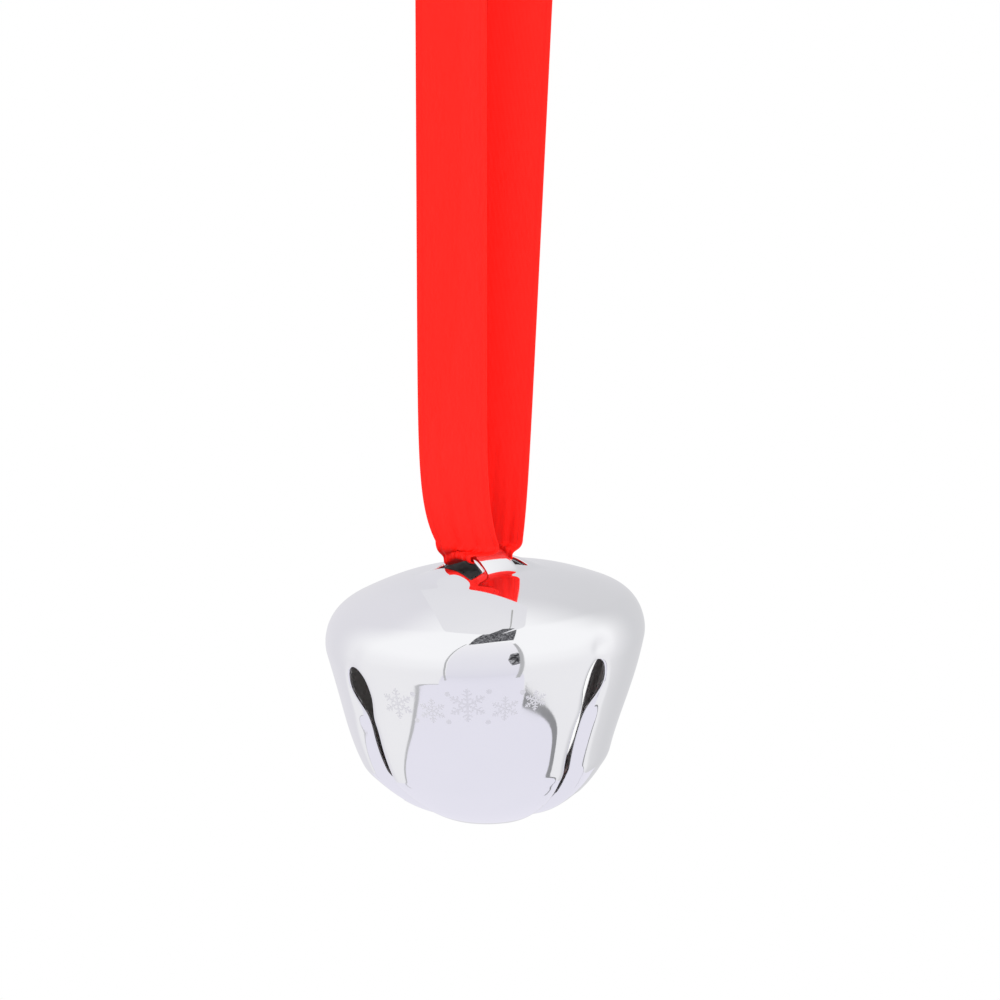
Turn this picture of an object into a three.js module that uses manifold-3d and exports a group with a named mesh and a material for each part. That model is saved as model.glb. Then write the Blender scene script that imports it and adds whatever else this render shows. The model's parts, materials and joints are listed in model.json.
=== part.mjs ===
// A jingle bell ornament: one stamped steel bell with a loose steel pellet inside, hung from a satin ribbon.
//
// The ribbon passes under the strap in the bell's crown, and both ends are tied in one overhand knot above.
// Millimetres, +Z up. The origin is the hang point: the inside top of the ribbon loop, just under the knot.
// X runs across the ribbon where it hangs on its hook, and front is -Y. The strap is turned from X.
import * as THREE from "three";
import { ConvexGeometry } from "three/addons/geometries/ConvexGeometry.js";
import { mergeVertices } from "three/addons/utils/BufferGeometryUtils.js";
import Module from "manifold-3d";

const wasm = await Module();
wasm.setup();

const degrees = THREE.MathUtils.degToRad;

// Hanging layout: how far the strap lies below the hang point, and how the bell leans on its ribbon.
const LOOP_DROP = 130;
const BELL_OFFSET_X = -1.4;
const BELL_LEAN = degrees(-3.4);
const STRAP_TURN = degrees(-50);

// Bell shell, in its own frame: Z = 0 at its widest level, its axis on Z, its strap along X.
const BELL_RADIUS = 30;
const SHEET = 0.85;
const CROWN_ARC = 60;
const SHOULDER_ARC = 7.5;
const TAPER = degrees(16.5);
const CORNER_ARC = 6;
const BOTTOM_ARC = 28.3;
const BELL_BOTTOM = -36.2;
const LATHE_SEGMENTS = 60;

// Four slots, from a keyhole just under the widest level to a small hole at the bottom. Opposite slots are in
// line, and the two lines cross a little off square.
const SLOT_AZIMUTHS = [degrees(-1), degrees(94), degrees(179), degrees(274)];
const SLOT_WIDTH = 3.2;
const KEYHOLE_WIDTH = 6.6;
const KEYHOLE_HEIGHT = 9.2;
const KEYHOLE_CENTRE = -5.6;
const BOTTOM_HOLE = 6;

// Crown strap: a strip of the sheet, slit on both sides and pressed up into a bridge.
const STRAP_WIDTH = 7.4;
const STRAP_FLAT = 6.6;
const STRAP_TOP = 16;
const WINDOW_LENGTH = 12;
const LIP_SPACING = 14.2;
const ROOT_LENGTH = 20;
const ROOT_WIDTH = 15;
const ROOT_BASE = 10.2;
const STRAP_CENTRE = STRAP_TOP - SHEET / 2;

// Pellet: a steel ball that rolls on the inside of the bottom arc.
const PELLET_RADIUS = 5;
const RUNNING_GAP = 0.3;
const BOTTOM_ARC_CENTRE = BELL_BOTTOM + BOTTOM_ARC;
const PELLET_CENTRE = BOTTOM_ARC_CENTRE - (BOTTOM_ARC - SHEET - RUNNING_GAP - PELLET_RADIUS);

// Ribbon: its cut width, its thickness, and the loop's spread.
const RIBBON_WIDTH = 12.7;
const RIBBON_THICKNESS = 0.4;
const BIGHT_RADIUS = 4.3;
const BIGHT_WIDTH = 10.4;
const BIGHT_ARCH = 2.2;
const BIGHT_SKEW = 0.3;
const BIGHT_STEPS = 16;
const RIBBON_COLUMNS = 4;
const STRAND_SPREAD = 6.1;
const SPREAD_TOP = -24;
const TWIST_START = -LOOP_DROP + 4;
const TWIST_END = -LOOP_DROP + 42;
const KNOT_BOTTOM = 3.95;
const STRAND_TOP = KNOT_BOTTOM - RUNNING_GAP;
const GATHERED_WIDTH = 6;

// Knot: its half sizes, the wrap around it, and the two cut tails.
const KNOT_HALF = new THREE.Vector3(5.2, 4.2, 4.8);
const WRAP_TUBE = 1.7;
const TAIL_LENGTH = 21;
const TAIL_NOTCH = 4.5;
const TAIL_LEAN = degrees(17);
const TAIL_SPLAY = degrees(14);

// ---- helpers ----

function solidOf(geometry) {
  const bare = geometry.index ? geometry.toNonIndexed() : geometry.clone();
  bare.deleteAttribute("normal");
  bare.deleteAttribute("uv");
  const merged = mergeVertices(bare, 1e-4);
  return new wasm.Manifold(
    new wasm.Mesh({
      numProp: 3,
      vertProperties: merged.attributes.position.array,
      triVerts: new Uint32Array(merged.index.array),
    }),
  );
}

function geometryOf(solid) {
  const mesh = solid.getMesh();
  const geometry = new THREE.BufferGeometry();
  geometry.setAttribute("position", new THREE.BufferAttribute(new Float32Array(mesh.vertProperties), 3));
  geometry.setIndex(new THREE.BufferAttribute(new Uint32Array(mesh.triVerts), 1));
  geometry.computeVertexNormals();
  return geometry;
}

function arcPoints(centreR, centreZ, radius, from, to, steps) {
  return Array.from({ length: steps + 1 }, (_, i) => {
    const angle = from + ((to - from) * i) / steps;
    return new THREE.Vector2(centreR + radius * Math.cos(angle), centreZ + radius * Math.sin(angle));
  });
}

function latheUpright(profile) {
  return new THREE.LatheGeometry(profile, LATHE_SEGMENTS).rotateX(Math.PI / 2);
}

// A flat outline drawn in X (across) and Y (up), stood upright and extruded towards the front.
function extrudeToFront(shape, depth) {
  const upright = new THREE.ExtrudeGeometry(shape, { depth, bevelEnabled: false, curveSegments: 14 });
  return upright.rotateX(Math.PI / 2);
}

function namedMesh(name, geometry, material) {
  const mesh = new THREE.Mesh(geometry, material);
  mesh.name = name;
  return mesh;
}

// ---- bell shell ----

// The bell's outline from the bottom to the crown, moved inwards by inset. Every arc keeps its centre, so
// the sheet has one thickness all over. The crown arc and the corner arc touch their neighbours tangentially.
function bellSolid(inset) {
  const shoulderCentre = BELL_RADIUS - SHOULDER_ARC;
  const crownCentre = -Math.sqrt((CROWN_ARC - SHOULDER_ARC) ** 2 - shoulderCentre ** 2);
  const crownJoin = Math.atan2(-crownCentre, shoulderCentre);
  const reach = BOTTOM_ARC - CORNER_ARC;
  const wallDistance = shoulderCentre * Math.cos(TAPER) + SHOULDER_ARC - CORNER_ARC;
  const cornerTurn = Math.asin((wallDistance + BOTTOM_ARC_CENTRE * Math.sin(TAPER)) / reach) - TAPER;
  const cornerR = reach * Math.sin(cornerTurn);
  const cornerZ = BOTTOM_ARC_CENTRE - reach * Math.cos(cornerTurn);
  const down = -Math.PI / 2;
  const profile = [
    ...arcPoints(0, BOTTOM_ARC_CENTRE, BOTTOM_ARC - inset, down, down + cornerTurn, 7),
    ...arcPoints(cornerR, cornerZ, CORNER_ARC - inset, down + cornerTurn, -TAPER, 3).slice(1),
    ...arcPoints(shoulderCentre, 0, SHOULDER_ARC - inset, -TAPER, crownJoin, 6),
    ...arcPoints(0, crownCentre, CROWN_ARC - inset, crownJoin, Math.PI / 2, 5).slice(1),
  ];
  profile[0].x = 0;
  profile[profile.length - 1].x = 0;
  return solidOf(latheUpright(profile));
}

// The tent that carries the strap: the convex form between the strap's flat top and its wide root.
function tentSolid(drop) {
  const ring = (halfX, halfY, z) =>
    Array.from({ length: 28 }, (_, i) => {
      const angle = (2 * Math.PI * i) / 28;
      return new THREE.Vector3(halfX * Math.cos(angle), halfY * Math.sin(angle), z - drop);
    });
  const halfX = STRAP_FLAT / 2;
  const halfY = STRAP_WIDTH / 2;
  const flatEnd = (x) => [-halfY, halfY].map((y) => new THREE.Vector3(x, y, STRAP_TOP - drop));
  const root = ring(ROOT_LENGTH / 2, ROOT_WIDTH / 2, ROOT_BASE);
  return solidOf(new ConvexGeometry([...flatEnd(-halfX), ...flatEnd(halfX), ...root]));
}

function crownWindow(side) {
  const depth = (LIP_SPACING - STRAP_WIDTH) / 2;
  const box = new THREE.BoxGeometry(WINDOW_LENGTH, depth, STRAP_TOP);
  return solidOf(box.translate(0, (side * (STRAP_WIDTH + depth)) / 2, STRAP_TOP));
}

// A keyhole with a slot running down from it, cut from the axis out through the wall.
function slotSolid(azimuth) {
  const halfSlot = SLOT_WIDTH / 2;
  const halfKey = KEYHOLE_WIDTH / 2;
  const keyStart = Math.acos(halfSlot / halfKey);
  const shape = new THREE.Shape();
  shape.moveTo(-halfSlot, BELL_BOTTOM - BELL_RADIUS);
  shape.lineTo(halfSlot, BELL_BOTTOM - BELL_RADIUS);
  shape.absellipse(0, KEYHOLE_CENTRE, halfKey, KEYHOLE_HEIGHT / 2, -keyStart, Math.PI + keyStart, false);
  shape.closePath();
  return solidOf(extrudeToFront(shape, BELL_RADIUS * 2).rotateZ(azimuth));
}

function bellShell() {
  let shell = bellSolid(0).add(tentSolid(0)).subtract(bellSolid(SHEET)).subtract(tentSolid(SHEET));
  for (const side of [-1, 1]) {
    shell = shell.subtract(crownWindow(side));
  }
  for (const azimuth of SLOT_AZIMUTHS) {
    shell = shell.subtract(slotSolid(azimuth));
  }
  const hole = new THREE.CylinderGeometry(BOTTOM_HOLE / 2, BOTTOM_HOLE / 2, BELL_RADIUS, 32);
  shell = shell.subtract(solidOf(hole.rotateX(Math.PI / 2).translate(0, 0, BELL_BOTTOM)));
  return geometryOf(shell);
}

// ---- ribbon ----

// Sideways place of a strand's middle at height z: side -1 is the front strand, 1 the back one.
function strandMiddle(side, z) {
  const climb = THREE.MathUtils.clamp((z + LOOP_DROP) / (SPREAD_TOP + LOOP_DROP), 0, 1);
  const gather = THREE.MathUtils.smoothstep(z, SPREAD_TOP, STRAND_TOP);
  const spread = THREE.MathUtils.lerp(BIGHT_SKEW, STRAND_SPREAD, 1 - (1 - climb) ** 2.4);
  const bellShift = BELL_OFFSET_X * (1 - climb);
  return (side * spread + bellShift) * (1 - gather);
}

// How much the ribbon follows the strap at height z: 1 in the strap, 0 well above it.
function strapHold(z) {
  return 1 - THREE.MathUtils.smoothstep(z, TWIST_START, TWIST_END);
}

// The ribbon's width at height z: a little bunched in the strap, and gathered under the knot.
function ribbonWidth(z) {
  const bunched = THREE.MathUtils.lerp(RIBBON_WIDTH, BIGHT_WIDTH, strapHold(z));
  const gather = THREE.MathUtils.smoothstep(z, SPREAD_TOP, STRAND_TOP);
  return THREE.MathUtils.lerp(bunched, GATHERED_WIDTH, gather);
}

// The middle line of the loop seen from the side: down the back, round the bight under the strap and up the
// front. Each point has its place and the angle that its outer face looks in.
function loopMidline() {
  const back = [];
  for (let z = STRAND_TOP; z > -LOOP_DROP; z -= z > SPREAD_TOP || z < TWIST_END ? 3 : 8) {
    const pinch = THREE.MathUtils.smoothstep(z, -8, STRAND_TOP);
    back.push({ y: THREE.MathUtils.lerp(BIGHT_RADIUS, 0.5, pinch), z, facing: 0 });
  }
  const bight = Array.from({ length: BIGHT_STEPS + 1 }, (_, i) => {
    const facing = (-Math.PI * i) / BIGHT_STEPS;
    const z = -LOOP_DROP + BIGHT_RADIUS * Math.sin(facing);
    return { y: BIGHT_RADIUS * Math.cos(facing), z, facing };
  });
  const front = back.map(({ y, z }) => ({ y: -y, z, facing: -Math.PI })).reverse();
  return [...back, ...bight, ...front];
}

// The loop is a thin box bent along its middle line, and turned, tilted and arched with the strap at its foot.
function ribbonLoop() {
  const midline = loopMidline();
  const steps = midline.length - 1;
  const geometry = new THREE.BoxGeometry(1, steps, RIBBON_THICKNESS, RIBBON_COLUMNS, steps, 1);
  geometry.clearGroups();
  const position = geometry.attributes.position;
  for (let i = 0; i < position.count; i++) {
    const share = position.getX(i);
    const middle = midline[Math.round(steps / 2 - position.getY(i))];
    const y = middle.y - position.getZ(i) * Math.cos(middle.facing);
    const z = middle.z - position.getZ(i) * Math.sin(middle.facing);
    const hold = strapHold(middle.z);
    const turn = STRAP_TURN * hold;
    const across = share * ribbonWidth(middle.z);
    const arch = BIGHT_ARCH * hold * (2 * share) ** 2;
    const side = middle.z > -LOOP_DROP ? Math.sign(middle.y) : middle.y / BIGHT_RADIUS;
    const x = across * Math.cos(turn) - y * Math.sin(turn);
    const tilt = x * Math.sin(BELL_LEAN) * hold;
    const turnedY = across * Math.sin(turn) + y * Math.cos(turn);
    position.setXYZ(i, x + strandMiddle(side, middle.z), turnedY, z - tilt - arch);
  }
  return geometry;
}

// A tail: a strip that flares from the knot to the ribbon's full width and ends in a swallowtail cut.
function tailSolid(side) {
  const foot = GATHERED_WIDTH / 2;
  const tip = RIBBON_WIDTH / 2;
  const shape = new THREE.Shape();
  shape.moveTo(-foot, 0);
  shape.lineTo(foot, 0);
  shape.quadraticCurveTo(tip * 0.8, TAIL_LENGTH * 0.4, tip, TAIL_LENGTH);
  shape.lineTo(0, TAIL_LENGTH - TAIL_NOTCH);
  shape.lineTo(-tip, TAIL_LENGTH);
  shape.quadraticCurveTo(-tip * 0.8, TAIL_LENGTH * 0.4, -foot, 0);
  const strip = extrudeToFront(shape, RIBBON_THICKNESS);
  strip.rotateY(side * TAIL_SPLAY).rotateX(-side * TAIL_LEAN);
  return solidOf(strip.translate(0, side, KNOT_BOTTOM + KNOT_HALF.z));
}

function ribbonKnot() {
  const core = new THREE.SphereGeometry(1, 28, 18).scale(KNOT_HALF.x, KNOT_HALF.y, KNOT_HALF.z);
  const wrap = new THREE.TorusGeometry(KNOT_HALF.y - WRAP_TUBE / 2, WRAP_TUBE, 12, 36);
  wrap.scale(1.12, 1, 1).rotateX(degrees(62)).rotateY(degrees(24));
  const middle = KNOT_BOTTOM + KNOT_HALF.z;
  let knot = solidOf(core.translate(0, 0, middle)).add(solidOf(wrap.translate(0, 0, middle)));
  for (const side of [-1, 1]) {
    knot = knot.add(tailSolid(side));
  }
  return geometryOf(knot);
}

// ---- assembly ----

const mirrorChrome = new THREE.MeshStandardMaterial({ color: 0xd9dadd, metalness: 1, roughness: 0.06 });
const pelletSteel = new THREE.MeshStandardMaterial({ color: 0x9a9da2, metalness: 1, roughness: 0.32 });
const redSatin = new THREE.MeshStandardMaterial({ color: 0xf01a12, metalness: 0, roughness: 0.45 });
const redSatinKnot = new THREE.MeshStandardMaterial({ color: 0xe8160f, metalness: 0, roughness: 0.5 });

const ornament = new THREE.Group();
ornament.add(namedMesh("ribbon_knot", ribbonKnot(), redSatinKnot));
ornament.add(namedMesh("ribbon_loop", ribbonLoop(), redSatin));

// The bell hangs by the middle of its strap, and leans a little to one side as real ones do.
const bell = new THREE.Group();
bell.position.set(BELL_OFFSET_X, 0, -LOOP_DROP);
bell.rotation.set(0, BELL_LEAN, STRAP_TURN);
ornament.add(bell);

const shell = namedMesh("bell_shell", bellShell(), mirrorChrome);
shell.position.z = -STRAP_CENTRE;
bell.add(shell);

const pellet = namedMesh("pellet", new THREE.SphereGeometry(PELLET_RADIUS, 28, 18), pelletSteel);
pellet.position.z = PELLET_CENTRE - STRAP_CENTRE;
bell.add(pellet);

export default ornament;
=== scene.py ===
"""Jingle bell ornament: a plated steel bell with a loose ball inside, hung from a red satin ribbon."""
import json
import math
import bpy
import numpy as np
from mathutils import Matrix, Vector


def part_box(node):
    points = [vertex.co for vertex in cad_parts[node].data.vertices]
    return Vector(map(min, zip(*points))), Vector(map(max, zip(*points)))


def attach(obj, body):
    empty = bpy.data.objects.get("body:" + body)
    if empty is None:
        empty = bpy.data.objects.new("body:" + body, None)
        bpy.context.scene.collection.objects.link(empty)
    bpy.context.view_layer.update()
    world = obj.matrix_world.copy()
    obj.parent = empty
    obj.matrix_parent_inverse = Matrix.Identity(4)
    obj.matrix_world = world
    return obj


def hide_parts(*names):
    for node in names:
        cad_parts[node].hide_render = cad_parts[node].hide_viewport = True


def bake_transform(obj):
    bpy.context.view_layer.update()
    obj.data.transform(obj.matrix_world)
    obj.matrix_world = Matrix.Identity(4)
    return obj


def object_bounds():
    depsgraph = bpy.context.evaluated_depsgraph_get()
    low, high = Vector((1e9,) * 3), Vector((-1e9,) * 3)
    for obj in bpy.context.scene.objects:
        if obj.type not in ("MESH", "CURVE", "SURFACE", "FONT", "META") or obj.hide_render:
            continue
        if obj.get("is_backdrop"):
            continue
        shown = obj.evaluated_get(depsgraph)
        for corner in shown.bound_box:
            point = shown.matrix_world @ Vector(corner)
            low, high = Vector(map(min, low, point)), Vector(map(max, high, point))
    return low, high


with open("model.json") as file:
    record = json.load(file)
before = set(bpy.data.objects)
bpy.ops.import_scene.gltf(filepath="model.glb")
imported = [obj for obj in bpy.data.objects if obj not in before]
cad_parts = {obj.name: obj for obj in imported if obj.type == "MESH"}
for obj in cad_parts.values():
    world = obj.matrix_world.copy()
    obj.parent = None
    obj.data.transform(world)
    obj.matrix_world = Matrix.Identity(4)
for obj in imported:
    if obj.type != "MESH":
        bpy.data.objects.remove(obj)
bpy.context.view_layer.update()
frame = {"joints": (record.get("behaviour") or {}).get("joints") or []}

MM = 0.001
joints = {joint["name"]: joint for joint in frame["joints"]}

# ---- where the bell hangs, in millimetres of the row frame ----

STRAP_CENTRE = 15.575
pivot = np.array(joints["bell_swing"]["pos_m"]) / MM
bell_x = np.array(joints["bell_swing"]["axis"])
bell_x /= np.linalg.norm(bell_x)
bell_up = pivot - np.array(joints["pellet_roll"]["pos_m"]) / MM
bell_up /= np.linalg.norm(bell_up)
bell_y = np.cross(bell_up, bell_x)
bell_turn = np.stack([bell_x, bell_y, bell_up])
bell_origin = pivot - STRAP_CENTRE * bell_up


def from_bell(points):
    """Points of the bell's own frame, where Z is 0 at the widest level, in the row frame."""
    return np.asarray(points, float) @ bell_turn + bell_origin


# ---- camera ----

CAMERA_TILT = math.radians(12.5)
CAMERA_DISTANCE = 700.0
CAMERA_LENS = 134.0
AIM_RIGHT = 3.1
AIM_UP = 24.6

view_axis = np.array([0.0, math.cos(CAMERA_TILT), -math.sin(CAMERA_TILT)])
view_up = np.array([0.0, math.sin(CAMERA_TILT), math.cos(CAMERA_TILT)])
aim = bell_origin + AIM_RIGHT * np.array([1.0, 0.0, 0.0]) + AIM_UP * view_up
camera_data = bpy.data.cameras.new("camera")
camera_data.lens = CAMERA_LENS
camera_data.sensor_width = 36
camera_data.clip_start = 0.01
camera_data.clip_end = 20
camera = bpy.data.objects.new("camera", camera_data)
bpy.context.scene.collection.objects.link(camera)
camera.location = Vector((aim - CAMERA_DISTANCE * view_axis) * MM)
camera.rotation_mode = "QUATERNION"
camera.rotation_quaternion = Vector(view_axis).to_track_quat("-Z", "Y")
bpy.context.scene.camera = camera

# ---- small helpers ----


def smoothstep(x, low, high):
    t = np.clip((np.asarray(x, float) - low) / (high - low), 0, 1)
    return t * t * (3 - 2 * t)


def mesh_object(name, points, faces, materials, slots=None, uv=None):
    """A smooth-shaded mesh from points in millimetres of the row frame."""
    mesh = bpy.data.meshes.new(name)
    mesh.from_pydata((np.asarray(points) * MM).tolist(), [], [list(map(int, f)) for f in faces])
    for material in materials:
        mesh.materials.append(material)
    mesh.polygons.foreach_set("use_smooth", [True] * len(mesh.polygons))
    if slots is not None:
        mesh.polygons.foreach_set("material_index", np.asarray(slots, np.int32))
    if uv is not None:
        layer = mesh.uv_layers.new(name="UVMap")
        corners = np.zeros(len(mesh.loops), np.int32)
        mesh.loops.foreach_get("vertex_index", corners)
        layer.data.foreach_set("uv", np.asarray(uv, np.float32)[corners].ravel())
    mesh.update()
    obj = bpy.data.objects.new(name, mesh)
    bpy.context.scene.collection.objects.link(obj)
    return obj


def vertex_normals(points, quads):
    """Area-weighted normals of a sheet of quads. A triangle is a quad with a doubled corner."""
    a, b, c, d = (points[quads[:, k]] for k in range(4))
    face = np.cross(c - a, d - b)
    total = np.zeros_like(points)
    for k in range(4):
        np.add.at(total, quads[:, k], face)
    length = np.linalg.norm(total, axis=1, keepdims=True)
    return total / np.maximum(length, 1e-12)


def thicken(points, quads, thickness, bulge=0.5, steps=4):
    """A closed sheet of even thickness with rounded rims: points, faces, layer and source vertex.

    The quads run anticlockwise as seen from outside. Layer 0 is the outside, 1 the rim and 2 the inside.
    """
    normals = vertex_normals(points, quads)
    count = len(points)
    inner = points - thickness * normals
    directed = {}  # A dict and not a set, so that the rim comes out in the same order each run.
    for quad in quads:
        for k in range(4):
            a, b = int(quad[k]), int(quad[(k + 1) % 4])
            if a != b:
                directed[(a, b)] = True
    rim = [(a, b) for a, b in directed if (b, a) not in directed]
    outward = np.zeros_like(points)
    for a, b in rim:
        along = points[b] - points[a]
        along /= max(np.linalg.norm(along), 1e-9)
        for v in (a, b):
            outward[v] += np.cross(along, normals[v])
    length = np.linalg.norm(outward, axis=1, keepdims=True)
    outward = outward / np.maximum(length, 1e-9)
    all_points = [points, inner]
    source = [np.arange(count), np.arange(count)]
    faces = [list(q) for q in quads]
    layers = [0] * len(quads)
    faces += [[q[3] + count, q[2] + count, q[1] + count, q[0] + count] for q in quads]
    layers += [2] * len(quads)
    on_rim = sorted({v for edge in rim for v in edge})
    chain = {v: [v] for v in on_rim}
    next_id = 2 * count
    extra = []
    for v in on_rim:
        middle = (points[v] + inner[v]) / 2
        for k in range(1, steps):
            angle = math.pi * k / steps
            offset = math.cos(angle) * normals[v] + bulge * math.sin(angle) * outward[v]
            extra.append(middle + thickness / 2 * offset)
            chain[v].append(next_id)
            next_id += 1
        chain[v].append(v + count)
    all_points.append(np.array(extra))
    source.append(np.repeat(np.array(on_rim, int), steps - 1))
    for a, b in rim:
        for k in range(steps):
            faces.append([chain[a][k], chain[a][k + 1], chain[b][k + 1], chain[b][k]])
            layers.append(1)
    faces = [clean(face) for face in faces]
    return np.concatenate(all_points), faces, np.array(layers), np.concatenate(source)


def clean(face):
    """A face without its doubled corners."""
    kept = []
    for v in face:
        if v not in kept:
            kept.append(v)
    return kept


# ---- materials ----


def new_material(name):
    material = bpy.data.materials.new(name)
    material.use_nodes = True
    nodes = material.node_tree.nodes
    return material, nodes, material.node_tree.links, nodes["Principled BSDF"]


def math_node(nodes, links, operation, *inputs):
    node = nodes.new("ShaderNodeMath")
    node.operation = operation
    for i, value in enumerate(inputs):
        if isinstance(value, (int, float)):
            node.inputs[i].default_value = value
        else:
            links.new(value, node.inputs[i])
    return node.outputs[0]


def noise(nodes, links, vector, scale, detail=3.0, roughness=0.5):
    node = nodes.new("ShaderNodeTexNoise")
    node.inputs["Scale"].default_value = scale
    node.inputs["Detail"].default_value = detail
    node.inputs["Roughness"].default_value = roughness
    links.new(vector, node.inputs["Vector"])
    return node.outputs["Fac"]


def span(nodes, links, value, low, high, to_low, to_high):
    node = nodes.new("ShaderNodeMapRange")
    links.new(value, node.inputs["Value"])
    node.inputs["From Min"].default_value = low
    node.inputs["From Max"].default_value = high
    node.inputs["To Min"].default_value = to_low
    node.inputs["To Max"].default_value = to_high
    return node.outputs["Result"]


def mix_colour(nodes, links, factor, first, second):
    node = nodes.new("ShaderNodeMix")
    node.data_type = "RGBA"
    links.new(factor, node.inputs["Factor"])
    for socket, value in ((node.inputs[6], first), (node.inputs[7], second)):
        if isinstance(value, tuple):
            socket.default_value = value
        else:
            links.new(value, socket)
    return node.outputs[2]


def bump(nodes, links, height, strength, distance, normal=None):
    node = nodes.new("ShaderNodeBump")
    node.inputs["Strength"].default_value = strength
    node.inputs["Distance"].default_value = distance
    links.new(height, node.inputs["Height"])
    if normal is not None:
        links.new(normal, node.inputs["Normal"])
    return node.outputs["Normal"]


UV_SCALE = 100.0
# Snowflakes as along, up and radius, and dots as along and up, in millimetres from the band's middle.
FLAKES = (
    (-14.0, 0.3, 3.2),
    (-7.2, -0.7, 2.6),
    (-0.8, 0.5, 3.5),
    (5.8, -0.6, 2.6),
    (11.2, 0.4, 2.1),
)
DOTS = ((-10.6, 2.6), (-10.4, -2.9), (-4.2, 2.9), (-4.3, -3.0), (3.0, 3.2), (2.9, -3.2), (8.8, 2.4))
DOT_RADIUS = 0.5
ARM_HALF_WIDTH = 0.055
TWIG_HALF_WIDTH = 0.045
TWIGS = ((0.3, 0.24), (0.55, 0.3), (0.78, 0.18))


def snowflake_group():
    """A node group: 1 inside a six-armed snowflake of radius 1 about the origin, else 0."""
    group = bpy.data.node_groups.new("snowflake", "ShaderNodeTree")
    group.interface.new_socket("X", in_out="INPUT", socket_type="NodeSocketFloat")
    group.interface.new_socket("Y", in_out="INPUT", socket_type="NodeSocketFloat")
    group.interface.new_socket("Inside", in_out="OUTPUT", socket_type="NodeSocketFloat")
    nodes = group.nodes
    links = group.links
    entry = nodes.new("NodeGroupInput")
    leave = nodes.new("NodeGroupOutput")

    def m(operation, *inputs):
        return math_node(nodes, links, operation, *inputs)

    x = entry.outputs["X"]
    y = entry.outputs["Y"]
    radius = m("SQRT", m("ADD", m("MULTIPLY", x, x), m("MULTIPLY", y, y)))
    sector = math.pi / 3
    turn = m("ADD", m("ARCTAN2", y, x), 4 * math.pi)
    folded = m("ABSOLUTE", m("SUBTRACT", m("MODULO", turn, sector), sector / 2))
    px = m("MULTIPLY", radius, m("COSINE", folded))
    py = m("MULTIPLY", radius, m("SINE", folded))
    inside = m("MULTIPLY", m("LESS_THAN", py, ARM_HALF_WIDTH), m("LESS_THAN", px, 1.0))
    for start, length in TWIGS:
        qx = m("SUBTRACT", px, start)
        along = m("ADD", m("MULTIPLY", qx, math.cos(sector)), m("MULTIPLY", py, math.sin(sector)))
        aside = m("SUBTRACT", m("MULTIPLY", qx, math.sin(sector)), m("MULTIPLY", py, math.cos(sector)))
        twig = m("LESS_THAN", m("ABSOLUTE", aside), TWIG_HALF_WIDTH)
        twig = m("MULTIPLY", twig, m("LESS_THAN", along, length))
        twig = m("MULTIPLY", twig, m("GREATER_THAN", along, 0.0))
        inside = m("MAXIMUM", inside, twig)
    links.new(inside, leave.inputs["Inside"])
    return group


def chrome_material():
    """Bright nickel plate: a mirror with faint smudges, hairline scratches and a frosted snowflake band."""
    material, nodes, links, shader = new_material("mirror_plating")
    place = nodes.new("ShaderNodeTexCoord")
    split = nodes.new("ShaderNodeSeparateXYZ")
    links.new(place.outputs["UV"], split.inputs[0])

    def m(operation, *inputs):
        return math_node(nodes, links, operation, *inputs)

    u = m("MULTIPLY", split.outputs[0], UV_SCALE)
    v = m("MULTIPLY", split.outputs[1], UV_SCALE)
    group = snowflake_group()
    mask = None
    for cu, cv, size in FLAKES:
        flake = nodes.new("ShaderNodeGroup")
        flake.node_tree = group
        links.new(m("DIVIDE", m("SUBTRACT", u, cu), size), flake.inputs[0])
        links.new(m("DIVIDE", m("SUBTRACT", v, cv), size), flake.inputs[1])
        mask = flake.outputs[0] if mask is None else m("MAXIMUM", mask, flake.outputs[0])
    for cu, cv in DOTS:
        du = m("SUBTRACT", u, cu)
        dv = m("SUBTRACT", v, cv)
        square = m("ADD", m("MULTIPLY", du, du), m("MULTIPLY", dv, dv))
        mask = m("MAXIMUM", mask, m("LESS_THAN", square, DOT_RADIUS**2))
    smudge = noise(nodes, links, place.outputs["Object"], 90.0, 4.0, 0.6)
    smudge = span(nodes, links, smudge, 0.42, 0.75, 0.03, 0.085)
    frost = noise(nodes, links, place.outputs["Object"], 2500.0, 2.0)
    frosted = span(nodes, links, frost, 0.3, 0.7, 0.4, 0.48)
    rough = nodes.new("ShaderNodeMix")
    links.new(mask, rough.inputs["Factor"])
    links.new(smudge, rough.inputs[2])
    links.new(frosted, rough.inputs[3])
    links.new(rough.outputs[0], shader.inputs["Roughness"])
    tone = noise(nodes, links, place.outputs["Object"], 45.0, 2.0)
    plate = mix_colour(nodes, links, tone, (0.86, 0.865, 0.885, 1), (0.91, 0.91, 0.925, 1))
    colour = mix_colour(nodes, links, mask, plate, (0.79, 0.79, 0.81, 1))
    links.new(colour, shader.inputs["Base Color"])
    shader.inputs["Metallic"].default_value = 1.0
    stretch = nodes.new("ShaderNodeMapping")
    stretch.inputs["Scale"].default_value = (1.0, 1.0, 14.0)
    links.new(place.outputs["Object"], stretch.inputs["Vector"])
    hairline = noise(nodes, links, stretch.outputs[0], 1500.0, 2.0)
    waves = noise(nodes, links, place.outputs["Object"], 55.0, 1.0)
    normal = bump(nodes, links, waves, 0.03, 0.004)
    normal = bump(nodes, links, hairline, 0.015, 0.00002, normal)
    normal = bump(nodes, links, mask, 0.1, 0.00002, normal)
    links.new(normal, shader.inputs["Normal"])
    return material


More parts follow.
